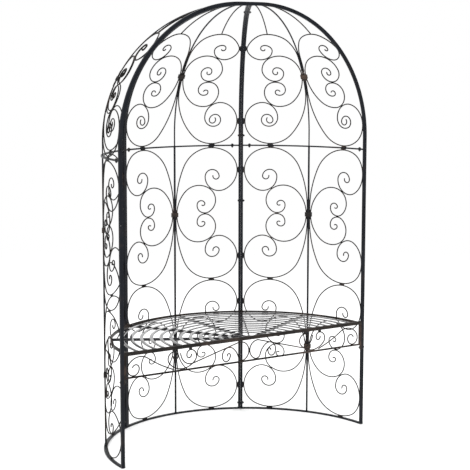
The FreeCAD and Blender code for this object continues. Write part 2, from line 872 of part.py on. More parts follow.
def screen_nodes():
    nodes = {}
    screen = {
        "screen_base_rail": [curved_flat(0.0, base_height, flat_width)],
        "screen_top_flat": [drilled_flat(spring_height - flat_thickness, spring_height)],
        "screen_mid_bar": [screen_mid_bar()],
        "screen_outer_scrolls": outer_scrolls(),
        "screen_inner_scrolls": inner_scrolls(),
        "screen_collars": screen_collars(),
        "screen_weld_clips": screen_clips(),
    }
    gore = {
        "gore_posts": gore_posts(),
        "gore_bottom_flat": [drilled_flat(spring_height, spring_height + flat_thickness)],
        "gore_mid_bar": [gore_mid_bar()],
        "gore_rods": gore_rods(),
        "gore_outer_scrolls": gore_outer_scrolls(),
        "gore_inner_scrolls": gore_inner_scrolls(),
        "gore_collar_and_clips": [gore_collar()] + gore_clips(),
    }
    posts = screen_posts()
    holes = bench_holes()
    for name, turn in zip(screen_names, screen_turns):
        placed = []
        for post in posts:
            copy = post.copy()
            copy.rotate(Vector(0, 0, 0), Vector(0, 0, 1), turn)
            placed.append(copy)
        nodes[name + "_screen_posts"] = [turned(post, 0.0) for post in drilled_for_bench(placed, holes)]
        for piece, shapes in {**screen, **gore}.items():
            nodes[name + "_" + piece] = [turned(shape, turn) for shape in shapes]
    return nodes


def bench_nodes():
    bench = {
        "bench_front_rail": [bench_front_rail()],
        "bench_rim": [bench_rim()],
        "bench_slats": bench_slats(),
        "bench_hub_and_supports": [bench_hub()] + bench_supports(),
        "bench_rear_brackets": at_joints(rear_bracket()),
        "apron_lower_rail": [apron_lower_rail()],
        "apron_end_bars": apron_end_bars(),
        "apron_lugs": apron_lugs(),
        "apron_scrolls": apron_scrolls(),
        "apron_braces": apron_braces(),
        "apron_weld_clips": apron_clips(),
        "joint_bolts_and_nuts": joint_bolts() + joint_nuts(),
        "spring_bolts_and_nuts": spring_bolts() + spring_nuts() + spring_washers(),
        "bench_bolts_and_nuts": bench_bolts() + bench_nuts(),
    }
    nodes = {name: [turned(shape, 0.0) for shape in shapes] for name, shapes in bench.items()}
    nodes["post_foot_plugs"] = [turned(shape, 0.0) for shape in post_plugs()]
    return nodes


def write(nodes):
    os.makedirs("parts", exist_ok=True)
    for name, shapes in nodes.items():
        solids = [solid for shape in shapes for solid in shape.Solids]
        shape = solids[0] if len(solids) == 1 else Part.makeCompound(solids)
        shape.exportStep("parts/" + name + ".step")
        print(name, len(solids), "solids", round(sum(solid.Volume for solid in solids) / 1000, 1), "cm3",
              all(solid.isValid() for solid in solids))
    print(len(nodes), "nodes")


all_nodes = screen_nodes()
all_nodes.update(bench_nodes())
write(all_nodes)
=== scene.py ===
# %% [markdown]
# # A half-round garden arbour of bent steel, finished in Blender
# The arbour is three screens of double posts and scrolls, a half dome of three gores, and a
# bench with an apron. Its steel is already cut to size in CAD, so this lesson never moves it.
# What Blender adds is what a hand would feel: rounded tube corners, welds, real bolts, and a
# dark powder coat that has been rubbed brown where the maker wanted it to look old.

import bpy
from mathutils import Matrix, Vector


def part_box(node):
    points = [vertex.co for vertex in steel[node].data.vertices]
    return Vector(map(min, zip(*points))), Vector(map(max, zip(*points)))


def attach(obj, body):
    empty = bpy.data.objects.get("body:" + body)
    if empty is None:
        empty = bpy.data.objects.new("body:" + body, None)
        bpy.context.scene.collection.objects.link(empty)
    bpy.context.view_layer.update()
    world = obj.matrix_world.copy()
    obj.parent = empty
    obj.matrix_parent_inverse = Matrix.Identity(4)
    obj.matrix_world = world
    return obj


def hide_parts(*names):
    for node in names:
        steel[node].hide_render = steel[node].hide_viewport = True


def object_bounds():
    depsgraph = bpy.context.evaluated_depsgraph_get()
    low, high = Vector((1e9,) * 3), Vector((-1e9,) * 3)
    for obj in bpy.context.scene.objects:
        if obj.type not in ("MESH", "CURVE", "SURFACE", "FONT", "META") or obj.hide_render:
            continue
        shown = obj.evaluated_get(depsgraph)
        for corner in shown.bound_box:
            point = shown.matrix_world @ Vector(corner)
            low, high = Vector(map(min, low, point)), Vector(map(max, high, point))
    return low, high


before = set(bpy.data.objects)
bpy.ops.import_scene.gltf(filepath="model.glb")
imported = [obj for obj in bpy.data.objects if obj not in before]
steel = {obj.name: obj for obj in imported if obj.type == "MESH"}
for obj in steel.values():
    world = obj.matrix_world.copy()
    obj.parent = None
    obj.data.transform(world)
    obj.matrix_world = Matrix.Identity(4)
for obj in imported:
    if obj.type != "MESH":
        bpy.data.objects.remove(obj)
cad_box = [list(corner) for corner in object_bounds()]
print("CAD box in metres:", cad_box)

# %% Tools of the trade
import itertools
import math

import bmesh
import bpy
import numpy
from mathutils import Matrix, Vector
from mathutils.bvhtree import BVHTree

mm = 0.001
body = "root"
print(len(steel), "CAD nodes")

# %% [markdown]
# ## The finish of each family of parts
# All the steel gets the same dark powder coat, sprayed and baked, and then some families are
# rubbed with a brown bronze wax: the clips and collars, the bench rail and the apron.
# One material for everything would look like a toy, and sixty materials could not be kept
# alike. So each finish is one material, and the effects they share are three node groups.

# %% A helper for node groups
def new_group(name, inputs, outputs):
    """A shader node group with named inputs and outputs, and its two end nodes."""
    tree = bpy.data.node_groups.new(name, "ShaderNodeTree")
    for label, kind, value in inputs:
        socket = tree.interface.new_socket(label, in_out="INPUT", socket_type=kind)
        socket.default_value = value
    for label, kind in outputs:
        tree.interface.new_socket(label, in_out="OUTPUT", socket_type=kind)
    return tree, tree.nodes.new("NodeGroupInput"), tree.nodes.new("NodeGroupOutput")


def add_node(tree, kind, **settings):
    """A node of a kind, with its properties and the values of its inputs set by name."""
    node = tree.nodes.new(kind)
    for key, value in settings.items():
        if key in node.inputs:
            node.inputs[key].default_value = value
        else:
            setattr(node, key, value)
    return node


def feed(tree, value, socket):
    """Sets a socket to a number or colour, or links another socket to it."""
    if isinstance(value, (int, float, tuple)):
        socket.default_value = value
    else:
        tree.links.new(value, socket)


# %% [markdown]
# ### Patterns and arithmetic for the finishes
# Wear, rub and grain are all noise that has been stretched, mixed and multiplied. In the node
# editor that is a page of boxes for each effect. Written as small functions, an effect reads
# as one or two lines, and each pattern says its size in patches per metre.

# %% Helpers for patterns
def noise(tree, place, scale, detail=2.0, roughness=0.5):
    """A noise pattern; scale is a number or a socket, in patches per metre."""
    node = add_node(tree, "ShaderNodeTexNoise", Detail=detail, Roughness=roughness)
    tree.links.new(place, node.inputs["Vector"])
    feed(tree, scale, node.inputs["Scale"])
    return node.outputs["Fac"]


def ramp(tree, value, low, high, to_low=0.0, to_high=1.0):
    """Stretches a value from low..high to to_low..to_high, with soft ends."""
    node = add_node(tree, "ShaderNodeMapRange", interpolation_type="SMOOTHSTEP")
    tree.links.new(value, node.inputs["Value"])
    limits = (("From Min", low), ("From Max", high), ("To Min", to_low), ("To Max", to_high))
    for key, limit in limits:
        feed(tree, limit, node.inputs[key])
    return node.outputs["Result"]


def plus(tree, first, second):
    """The sum of two numbers or sockets."""
    node = add_node(tree, "ShaderNodeMath", operation="ADD")
    feed(tree, first, node.inputs[0])
    feed(tree, second, node.inputs[1])
    return node.outputs[0]


def minus(tree, first, second):
    """The difference of two numbers or sockets, kept between 0 and 1."""
    node = add_node(tree, "ShaderNodeMath", operation="SUBTRACT", use_clamp=True)
    feed(tree, first, node.inputs[0])
    feed(tree, second, node.inputs[1])
    return node.outputs[0]


def times(tree, first, second):
    """The product of two numbers or sockets, kept between 0 and 1."""
    node = add_node(tree, "ShaderNodeMath", operation="MULTIPLY", use_clamp=True)
    feed(tree, first, node.inputs[0])
    feed(tree, second, node.inputs[1])
    return node.outputs[0]


def blend_colours(tree, mask, under, over):
    """One colour over another wherever the mask is high."""
    node = add_node(tree, "ShaderNodeMix", data_type="RGBA")
    tree.links.new(mask, node.inputs["Factor"])
    for key, colour in (("A", under), ("B", over)):
        feed(tree, colour, next(s for s in node.inputs if s.name == key and s.type == "RGBA"))
    return next(s for s in node.outputs if s.type == "RGBA")


# %% [markdown]
# ### Powder coat
# Powder melts and flows in the oven, so the skin is never flat: it has a fine orange peel, a
# little texture from the powder's grain, and slow changes of tone where it went on thicker.
# An image wrapped round thin bars would repeat and stretch. Noise in the object's own space
# has real sizes, so a 5 mm rod and a 15 mm tube carry the same grain.

# %% Group: powder coat
coat_group, coat_in, coat_out = new_group(
    "powder coat",
    [("Tone", "NodeSocketColor", (0.02, 0.02, 0.02, 1)),
     ("Thin tone", "NodeSocketColor", (0.05, 0.05, 0.05, 1)),
     ("Patches per metre", "NodeSocketFloat", 9.0),
     ("Grains per metre", "NodeSocketFloat", 700.0),
     ("Roughness", "NodeSocketFloat", 0.4)],
    [("Colour", "NodeSocketColor"), ("Roughness", "NodeSocketFloat"), ("Height", "NodeSocketFloat")])
peel_lumps = 330.0      # per metre
place = coat_group.nodes.new("ShaderNodeTexCoord").outputs["Object"]
tone_patches = noise(coat_group, place, coat_in.outputs["Patches per metre"], 4.0, 0.6)
grain = noise(coat_group, place, coat_in.outputs["Grains per metre"], 3.0, 0.65)
peel = noise(coat_group, place, peel_lumps, 1.0)
streaks = ramp(coat_group, tone_patches, 0.32, 0.72)
speckle = ramp(coat_group, grain, 0.42, 0.78)
share = plus(coat_group, times(coat_group, streaks, 0.6), times(coat_group, speckle, 0.45))
toned = blend_colours(coat_group, share, coat_in.outputs["Tone"], coat_in.outputs["Thin tone"])
rough_change = plus(coat_group, times(coat_group, streaks, 0.08), times(coat_group, speckle, 0.10))
rough = plus(coat_group, coat_in.outputs["Roughness"], rough_change)
height = plus(coat_group, times(coat_group, peel, 0.7), times(coat_group, grain, 0.3))
coat_group.links.new(toned, coat_out.inputs["Colour"])
coat_group.links.new(rough, coat_out.inputs["Roughness"])
coat_group.links.new(height, coat_out.inputs["Height"])
print("powder coat:", len(coat_group.nodes), "nodes")

# %% [markdown]
# ### Worn edges
# Corners are where the coat is thinnest and where hands, pots and rain rub it first.
# Painting wear by hand would take days on hundreds of bars. The Bevel node looks a little way
# round each corner, and where its rounded direction differs from the flat face there is an
# edge. Noise then breaks the line up, because real wear is never a stripe.

# %% Group: worn edges
edge_group, edge_in, edge_out = new_group(
    "worn edges",
    [("Reach", "NodeSocketFloat", 0.0012), ("Amount", "NodeSocketFloat", 0.7),
     ("Breaks per metre", "NodeSocketFloat", 90.0)],
    [("Mask", "NodeSocketFloat")])
place = edge_group.nodes.new("ShaderNodeTexCoord").outputs["Object"]
rounded = add_node(edge_group, "ShaderNodeBevel", samples=4)
edge_group.links.new(edge_in.outputs["Reach"], rounded.inputs["Radius"])
facing = edge_group.nodes.new("ShaderNodeNewGeometry").outputs["Normal"]
cosine = add_node(edge_group, "ShaderNodeVectorMath", operation="DOT_PRODUCT")
edge_group.links.new(rounded.outputs["Normal"], cosine.inputs[0])
edge_group.links.new(facing, cosine.inputs[1])
corner = ramp(edge_group, minus(edge_group, 1.0, cosine.outputs["Value"]), 0.01, 0.16)
break_noise = noise(edge_group, place, edge_in.outputs["Breaks per metre"], 5.0, 0.7)
breaks = ramp(edge_group, break_noise, 0.44, 0.62)
worn = times(edge_group, times(edge_group, corner, breaks), edge_in.outputs["Amount"])
edge_group.links.new(worn, edge_out.inputs["Mask"])
print("worn edges:", len(edge_group.nodes), "nodes")

# %% [markdown]
# ### Bronze rub
# The brown is wiped on with a cloth after the coat is baked. It catches on whatever stands
# proud and fades out along a bar, so the same bar goes from nearly black to pinkish brown.
# A second colour in the coat group could do it, but the rub has its own rules: it is patchy at
# the size of a hand, scratched at the size of a cloth's weave, and it dulls the shine.

# %% Group: bronze rub
rub_group, rub_in, rub_out = new_group(
    "bronze rub",
    [("Amount", "NodeSocketFloat", 0.5), ("Wipes per metre", "NodeSocketFloat", 11.0)],
    [("Mask", "NodeSocketFloat")])
cloth_threads = 420.0   # per metre
place = rub_group.nodes.new("ShaderNodeTexCoord").outputs["Object"]
wipes = noise(rub_group, place, rub_in.outputs["Wipes per metre"], 3.0, 0.55)
threads = noise(rub_group, place, cloth_threads, 4.0, 0.7)
bare = minus(rub_group, 1.0, rub_in.outputs["Amount"])
wiped = ramp(rub_group, wipes, times(rub_group, bare, 0.62), plus(rub_group, bare, 0.12))
rubbed = times(rub_group, wiped, ramp(rub_group, threads, 0.28, 0.66, 0.35, 1.0))
rub_group.links.new(rubbed, rub_out.inputs["Mask"])
print("bronze rub:", len(rub_group.nodes), "nodes")

# %% [markdown]
# ## One material for each slot
# Every finish is the same recipe with its own numbers: coat, rub and wear feed one shader.
# A clear skin lies over the coat only where it is seen at a low angle, as on the seat's tops.
# Writing it as a function keeps the recipe in one place, and the table under it reads like a
# paint shop's order. Colours are linear, so these very small numbers are dark greys.

# %% The recipe
wax_dulls = 0.12            # added to the roughness under a full rub
worn_metal = 0.55           # how metallic a fully worn edge is
low_angles = (0.45, 0.85)   # from where the clear skin starts to show, to where it is full


def finish(name, tone, thin_tone, rub, wear, roughness, peel_depth, shine,
           gloss=0.04, gloss_roughness=0.3, grains=700.0, reach=1.2 * mm):
    """A coated steel finish; rub and wear are each a colour and an amount."""
    material = bpy.data.materials.new(name)
    material.use_nodes = True
    tree = material.node_tree
    shader = tree.nodes["Principled BSDF"]
    coat = add_node(tree, "ShaderNodeGroup", node_tree=coat_group)
    for key, value in (("Tone", tone), ("Thin tone", thin_tone), ("Roughness", roughness),
                       ("Grains per metre", grains)):
        coat.inputs[key].default_value = value
    wax = add_node(tree, "ShaderNodeGroup", node_tree=rub_group)
    wax.inputs["Amount"].default_value = rub[1]
    edge = add_node(tree, "ShaderNodeGroup", node_tree=edge_group)
    edge.inputs["Reach"].default_value = reach
    edge.inputs["Amount"].default_value = wear[1]
    waxed = blend_colours(tree, wax.outputs["Mask"], coat.outputs["Colour"], rub[0])
    coloured = blend_colours(tree, edge.outputs["Mask"], waxed, wear[0])
    dulled = plus(tree, coat.outputs["Roughness"], times(tree, wax.outputs["Mask"], wax_dulls))
    bump = add_node(tree, "ShaderNodeBump", Strength=0.5, Distance=peel_depth)
    skim = add_node(tree, "ShaderNodeLayerWeight", Blend=0.5)
    tree.links.new(coloured, shader.inputs["Base Color"])
    tree.links.new(dulled, shader.inputs["Roughness"])
    tree.links.new(times(tree, edge.outputs["Mask"], worn_metal), shader.inputs["Metallic"])
    tree.links.new(coat.outputs["Height"], bump.inputs["Height"])
    tree.links.new(bump.outputs["Normal"], shader.inputs["Normal"])
    tree.links.new(ramp(tree, skim.outputs["Facing"], *low_angles, 0.0, gloss),
                   shader.inputs["Coat Weight"])
    shader.inputs["Specular IOR Level"].default_value = shine
    shader.inputs["Coat Roughness"].default_value = gloss_roughness
    return material


# %% The paint shop's order
brown = (0.060, 0.042, 0.033, 1)
pinkish_brown = (0.135, 0.092, 0.076, 1)
bronze = (0.105, 0.070, 0.050, 1)
bare_steel = (0.13, 0.125, 0.12, 1)
grey_wear = (0.04, 0.04, 0.04, 1)
finishes = {
    "frame_coating": finish(
        "satin anthracite powder coat", (0.0036, 0.0046, 0.0070, 1), (0.0085, 0.0105, 0.015, 1),
        rub=(brown, 0.12), wear=(bare_steel, 0.25), roughness=0.34,
        peel_depth=0.20 * mm, shine=0.13),
    "scroll_coating": finish(
        "dark powder coat on bent rod", (0.0035, 0.0033, 0.0032, 1), (0.011, 0.0098, 0.0092, 1),
        rub=(brown, 0.26), wear=(bare_steel, 0.25), roughness=0.42,
        peel_depth=0.12 * mm, shine=0.07, gloss=0.0),
    "clip_coating": finish(
        "coat over welds and collars", (0.0045, 0.0040, 0.0038, 1), (0.013, 0.0105, 0.0095, 1),
        rub=(bronze, 0.24), wear=(bare_steel, 0.45), roughness=0.44,
        peel_depth=0.30 * mm, shine=0.22, grains=900.0),
    "bench_coating": finish(
        "satin coat on the seat", (0.0085, 0.0082, 0.0098, 1), (0.020, 0.0195, 0.023, 1),
        rub=(pinkish_brown, 0.12), wear=(bare_steel, 0.40), roughness=0.18,
        peel_depth=0.06 * mm, shine=0.30, gloss=1.0, gloss_roughness=0.06),
    "rail_coating": finish(
        "coat on the seat rail", (0.0052, 0.0047, 0.0046, 1), (0.015, 0.0118, 0.0105, 1),
        rub=(brown, 0.34), wear=(bronze, 0.55), roughness=0.36,
        peel_depth=0.18 * mm, shine=0.14),
    "apron_coating": finish(
        "rubbed coat on the apron", (0.0050, 0.0043, 0.0040, 1), (0.017, 0.0128, 0.0108, 1),
        rub=(pinkish_brown, 0.24), wear=(bronze, 0.25), roughness=0.40,
        peel_depth=0.14 * mm, shine=0.09, gloss=0.0),
    "fastener_coating": finish(
        "blackened bolts", (0.0050, 0.0050, 0.0053, 1), (0.016, 0.016, 0.0165, 1),
        rub=(brown, 0.15), wear=(bare_steel, 0.60), roughness=0.30,
        peel_depth=0.10 * mm, shine=0.35, grains=1400.0, reach=0.6 * mm),
    "plug_plastic": finish(
        "black moulded plug", (0.008, 0.008, 0.008, 1), (0.016, 0.016, 0.016, 1),
        rub=(grey_wear, 0.10), wear=(grey_wear, 0.50), roughness=0.50,
        peel_depth=0.12 * mm, shine=0.40, grains=1800.0),
}
print(len(finishes), "finishes")


# %% Which node takes which finish
def slot_of(node):
    """The material slot of a CAD node, from what the part is."""
    if node.endswith("foot_plugs"):
        return "plug_plastic"
    if "bolts" in node:
        return "fastener_coating"
    if "collar" in node or "clips" in node or "brackets" in node:
        return "clip_coating"
    if "scrolls" in node or node.endswith("rods"):
        return "apron_coating" if node.startswith("apron") else "scroll_coating"
    if node.startswith("apron"):
        return "apron_coating"
    if node in ("bench_front_rail", "bench_rim"):
        return "rail_coating"
    return "bench_coating" if node.startswith("bench") else "frame_coating"


for name, node in steel.items():
    node.data.materials.clear()
    node.data.materials.append(finishes[slot_of(name)])
print({slot: sum(slot_of(name) == slot for name in steel) for slot in finishes})

# %% [markdown]
# ## Rounded corners on tubes and flats
# A rectangular tube is rolled, so its corners are rounded by about its own wall, and a flat
# bar has its edges knocked off. A razor-sharp edge never shows the thin bright line that tells
# the eye it is metal. A Bevel modifier on the CAD mesh would split every loose triangle, so the
# mesh is copied, merged, cleared of needless edges, and its long sharp edges are bevelled.

# %% Copy, merge and round
merge_distance = 0.01 * mm
flat_angle = math.radians(0.6)      # faces this close to flat become one
sharp_angle = math.radians(50)      # edges sharper than this are rounded
shading_angle = math.radians(38)    # edges sharper than this stay crisp
shortest_edge = 2.2                 # of the corner's radius


def merged_mesh(node):
    """A copy of a CAD node's mesh with its loose triangles joined up."""
    bm = bmesh.new()
    bm.from_mesh(steel[node].data)
    bmesh.ops.remove_doubles(bm, verts=bm.verts, dist=merge_distance)
    return bm


def keep_piece(bm, name, slot, *stands_for):
    """Makes a finished mesh a piece that rides on the frame, inside the CAD box."""
    for vertex in bm.verts:
        vertex.co = [min(max(value, low), high) for value, low, high in zip(vertex.co, *cad_box)]
    mesh = bpy.data.meshes.new(name)
    bm.to_mesh(mesh)
    bm.free()
    mesh.shade_smooth()
    mesh.set_sharp_from_angle(angle=shading_angle)
    piece = bpy.data.objects.new(name, mesh)
    bpy.context.scene.collection.objects.link(piece)
    mesh.materials.append(finishes[slot])
    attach(piece, body)
    if stands_for:
        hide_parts(*stands_for)
    return piece


def round_corners(node, radius, segments):
    """A copy of a node whose long sharp edges are rounded."""
    bm = merged_mesh(node)
    bmesh.ops.dissolve_limit(bm, angle_limit=flat_angle, verts=bm.verts, edges=bm.edges,
                             delimit=set())
    edges = [edge for edge in bm.edges
             if len(edge.link_faces) == 2 and edge.calc_face_angle(0) > sharp_angle
             and edge.calc_length() > shortest_edge * radius]
    bmesh.ops.bevel(bm, geom=edges, offset=radius, offset_type="OFFSET", segments=segments,
                    profile=0.5, affect="EDGES", clamp_overlap=True, material=-1)
    return keep_piece(bm, node + "_rounded", slot_of(node), node)


# %% Round each family by what it is made from
tube_corner = 1.1 * mm
bar_corner = 0.6 * mm
flat_corner = 0.5 * mm
clip_corner = 0.8 * mm
families = (
    ("posts", tube_corner, 3), ("front_rail", tube_corner, 2), ("base_rail", flat_corner, 2),
    ("lower_rail", flat_corner, 2), ("flat", flat_corner, 2), ("rim", flat_corner, 2),
    ("slats", flat_corner, 2), ("supports", flat_corner, 2), ("lugs", flat_corner, 2),
    ("brackets", flat_corner, 2), ("collars", flat_corner, 2), ("clips", clip_corner, 2),
    ("mid_bar", bar_corner, 2), ("end_bars", bar_corner, 2))
rounded_count = 0
for name in sorted(steel):
    for ending, radius, segments in families:
        if name.endswith(ending):
            piece = round_corners(name, radius, segments)
            rounded_count += 1
            print(name, len(piece.data.polygons), "faces")
print(rounded_count, "pieces rounded")

# %% [markdown]
# ## Weld beads
# Every scroll is held by small welds: at its clips, where one curl touches another, and where
# bars end on flats. Up close a bead is a row of overlapping ripples, slightly proud.
# Displacing a smooth tube would need a dense mesh. A stretched sphere whose rings swell and
# shrink in turn has seventy faces, and it may be repeated hundreds of times.
# A bead follows the surface it lies on, so the first thing to know is which way is out: round
# the plan's centre on the screens, and tipping upwards over the dome.

# %% One bead
outer_radius = 627.5 * mm       # of the curved flats, from the centre of the plan
dome_straight = 57 * mm         # the straight lower end of each dome tube
tip_straight = 48 * mm          # and its straight upper end
plan_centre = Vector((0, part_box("back_screen_top_flat")[1].y - outer_radius, 0))
dome_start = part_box("back_gore_bottom_flat")[0].z
up = Vector((0, 0, 1))
ripple = 0.16                   # how much a bead swells and shrinks from ring to ring
bead_rings = 10


def bead(bm, centre, along, half_length, radius):
    """A rippled weld bead laid along a direction."""
    turn = along.to_track_quat("Z", "Y").to_matrix().to_4x4()
    size = Matrix.Diagonal((radius, radius, half_length, 1))
    made = bmesh.ops.create_uvsphere(bm, u_segments=7, v_segments=bead_rings, radius=1.0)["verts"]
    for vertex in made:
        ring = round((1 - math.acos(max(-1, min(1, vertex.co.z))) / math.pi) * bead_rings)
        swell = 1 + (ripple if ring % 2 else -ripple)
        vertex.co.x *= swell
        vertex.co.y *= swell
    bmesh.ops.transform(bm, matrix=Matrix.Translation(centre) @ turn @ size, verts=made)


def outward(point, node):
    """The direction straight out of the surface that a node's bars lie in."""
    if node.startswith(("apron", "bench")):
        return Vector((0, -1, 0))
    away = Vector((point.x - plan_centre.x, point.y - plan_centre.y, 0))
    rise = point.z - dome_start - dome_straight
    if rise > 0:
        away = away.normalized() * (away.length - tip_straight) + Vector((0, 0, rise))
    return away.normalized()


print("plan centre at y =", round(plan_centre.y, 4), "m, dome from z =", round(dome_start, 4), "m")

# %% [markdown]
# ### Where the clips are
# A clip is a small flat between a scroll and its post. Its welds run along its four long
# seams. Typing in the places would go wrong as soon as a size changes, so each clip is found
# in its CAD node: the mesh is merged, split into its separate solids, and measured.

# %% Find the separate solids of a node
def solids_of(node):
    """The corner points of each separate solid of a node."""
    bm = merged_mesh(node)
    for vertex in bm.verts:
        vertex.tag = False
    found = []
    for seed in bm.verts:
        if seed.tag:
            continue
        seed.tag = True
        group, todo = [], [seed]
        while todo:
            vertex = todo.pop()
            group.append(vertex.co.copy())
            for edge in vertex.link_edges:
                other = edge.other_vert(vertex)
                if not other.tag:
                    other.tag = True
                    todo.append(other)
        found.append(group)
    bm.free()
    return found


def span(points, way):
    """How far points reach along a direction, from end to end."""
    reach = [point.dot(way) for point in points]
    return max(reach) - min(reach)


def middle_of(points):
    return sum(points, Vector()) / len(points)


# %% Weld the clips
seam_half, seam_radius, seam_sunk = 7.5 * mm, 1.15 * mm, 0.3 * mm
block_corners = 8       # a plain block has eight corner points


def clip_ways(points, node):
    """A clip's centre, its long way, its way out of the surface and the way across the gap."""
    centre = middle_of(points)
    from_corner = sorted((point - points[0] for point in points[1:]), key=lambda way: way.length)
    along = from_corner[3].normalized()     # after two short edges and their diagonal
    out = outward(centre, node)
    gap = along.cross(out).normalized()
    return centre, along, gap.cross(along).normalized(), gap


def weld_clip(bm, points, node):
    """A bead on each of a clip's four long seams."""
    centre, along, out, gap = clip_ways(points, node)
    half_gap, half_depth = span(points, gap) / 2, span(points, out) / 2
    for gap_side in (-1, 1):
        for out_side in (-1, 1):
            seam = centre + gap * gap_side * half_gap + out * out_side * (half_depth - seam_sunk)
            bead(bm, seam, along, seam_half, seam_radius)


for node in sorted(name for name in steel if name.endswith("clips")):
    bm = bmesh.new()
    clips = [points for points in solids_of(node) if len(points) == block_corners]
    for points in clips:
        weld_clip(bm, points, node)
    keep_piece(bm, node + "_beads", "clip_coating")
    print(node, len(clips), "clips welded")

# %% [markdown]
# ### Where rods touch
# A scroll's curls rest against their neighbours, and each touch gets a tack on both sides.
# From every point on a rod a short ray is sent straight out. If it meets another surface that
# faces it within about a millimetre, the rods touch there. The near hits are gathered into
# one place, and places beside a collar are left out, because the collar holds those.

# %% Find the touches
near = 1.4 * mm             # how far a ray looks for the next bar
lift_off = 0.05 * mm        # how far above its own surface it starts
facing_back = -0.8          # the two surfaces look at each other
together = 16 * mm          # hits closer than this are one touch
collar_clear = 70 * mm      # a collar holds the bars this close to it


def touches(nodes, collars):
    """Places where bars touch: the point and the direction across the touch."""
    bm = bmesh.new()
    for node in nodes:
        bm.from_mesh(steel[node].data)
    bmesh.ops.remove_doubles(bm, verts=bm.verts, dist=merge_distance)
    bm.normal_update()
    tree = BVHTree.FromBMesh(bm)
    hits = []
    for vertex in bm.verts:
        start = vertex.co + vertex.normal * lift_off
        spot, facing, _, distance = tree.ray_cast(start, vertex.normal, near)
        if spot is not None and facing.dot(vertex.normal) < facing_back:
            if all((vertex.co - collar).length > collar_clear for collar in collars):
                hits.append((distance, (vertex.co + spot) / 2, vertex.normal.copy()))
    bm.free()
    places = []
    for distance, spot, across in sorted(hits, key=lambda hit: (hit[0], *hit[1])):
        if all((spot - other).length > together for other, _ in places):
            places.append((spot, across))
    return places


# %% Tack the touches
tack_half, tack_radius, tack_proud = 3.8 * mm, 1.25 * mm, 1.7 * mm
screens_and_gores = ("left_screen", "back_screen", "right_screen",
                     "left_gore", "back_gore", "right_gore")


def collar_node(owner):
    """The CAD node that holds the collars of a screen or a gore."""
    return owner + ("_collars" if "screen" in owner else "_collar_and_clips")


def tack(bm, spot, across, out):
    """A short bead on either face of a touch."""
    along = across.cross(out).normalized()
    proud = along.cross(across).normalized()
    for side in (-1, 1):
        bead(bm, spot + proud * side * tack_proud, along, tack_half, tack_radius)


for owner in screens_and_gores:
    collars = [middle_of(points) for points in solids_of(collar_node(owner))
               if len(points) > block_corners]
    bars = [owner + ending for ending in ("_outer_scrolls", "_inner_scrolls", "_mid_bar")]
    places = touches(bars, collars)
    bm = bmesh.new()
    for spot, across in places:
        tack(bm, spot, across, outward(spot, owner))
    keep_piece(bm, owner + "_tacks", "scroll_coating")
    print(owner, len(places), "touches tacked")

apron_bars = ["apron_scrolls", "apron_braces", "apron_lower_rail", "bench_front_rail"]
places = touches(apron_bars, [])
bm = bmesh.new()
for spot, across in places:
    tack(bm, spot, across, outward(spot, "apron"))
keep_piece(bm, "apron_tacks", "apron_coating")
print("apron", len(places), "touches tacked")

# %% [markdown]
# ### The bundle at each collar
# At a collar five bars lie side by side: the middle bar, two stems and two bellies. The real
# bundle is welded above and below its collar before the band is closed, so it looks thick and
# dark there. Long beads in the grooves between the bars give that, on both faces, and one
# short bead closes the lap of the band on its outer face.

# %% Weld the bundles
groove_welds = ((0, 24 * mm, 13 * mm), (1, 16 * mm, 6 * mm))   # rods out, rise, half length
groove_radius, groove_out = 1.3 * mm, 2.1 * mm
lap_half, lap_radius, lap_sunk = 8.5 * mm, 0.9 * mm, 0.2 * mm
rod, screen_bar, gore_bar = 5 * mm, 7 * mm, 5 * mm
bm = bmesh.new()
bundles = 0
for owner in screens_and_gores:
    bar = screen_bar if "screen" in owner else gore_bar
    for points in solids_of(collar_node(owner)):
        if len(points) == block_corners:
            continue
        centre = middle_of(points)
        out = outward(centre, owner)
        across = up.cross(out).normalized()
        along = out.cross(across)
        for rods_out, rise, half_length in groove_welds:
            for side, way, face in itertools.product((-1, 1), repeat=3):
                groove = across * side * (bar / 2 + rods_out * rod) + along * way * rise
                middle = centre + groove + out * face * groove_out
                bead(bm, middle, along, half_length, groove_radius)
        lap = centre + out * (span(points, out) / 2 - lap_sunk)
        bead(bm, lap, along, lap_half, lap_radius)
        bundles += 1
keep_piece(bm, "collar_bundle_welds", "clip_coating")
print(bundles, "bundles welded")

# %% [markdown]
# ### Where bars end on flats and posts
# The middle bars stand on the base flat and end under the top flat, and each flat ends against
# two posts. These seams carry the weight, so they get full fillets.
# The places come from the CAD boxes again, and each fillet is one bead laid along its seam.

# %% Fillets at the ends of bars
bar_half, post_half = screen_bar / 2, 5 * mm
bar_fillet, bar_fillet_lift, bar_fillet_off = 1.3 * mm, 0.6 * mm, 0.4 * mm
post_fillet, post_fillet_half, post_fillet_off = 1.4 * mm, 6.5 * mm, 0.5 * mm
post_foot = 15 * mm         # the points of a post below this give its place in plan


def in_plan(point):
    """A point dropped to the ground."""
    return Vector((point.x, point.y, 0))


bm = bmesh.new()
fillets = 0
for side in ("left", "back", "right"):
    low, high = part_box(side + "_screen_mid_bar")
    foot = in_plan((low + high) / 2)
    out = outward(foot, "screen")
    along = up.cross(out)
    for level in (low.z + bar_fillet_lift, high.z - bar_fillet_lift):
        for way, other in ((out, along), (along, out)):
            for sign in (-1, 1):
                seam = foot + up * level + way * sign * (bar_half + bar_fillet_off)
                bead(bm, seam, other, bar_half, bar_fillet)
                fillets += 1
    levels = (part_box(side + "_screen_base_rail")[1].z + post_fillet_off,
              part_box(side + "_screen_top_flat")[0].z - post_fillet_off)
    for post in solids_of(side + "_screen_posts"):
        centre = in_plan(middle_of([point for point in post if point.z < post_foot]))
        out = outward(centre, "screen")
        inward = foot - centre
        inward = (inward - out * inward.dot(out)).normalized()
        for level in levels:
            seam = centre + up * level + inward * (post_half + post_fillet_off)
            bead(bm, seam, out, post_fillet_half, post_fillet)
            fillets += 1
keep_piece(bm, "frame_fillets", "frame_coating")
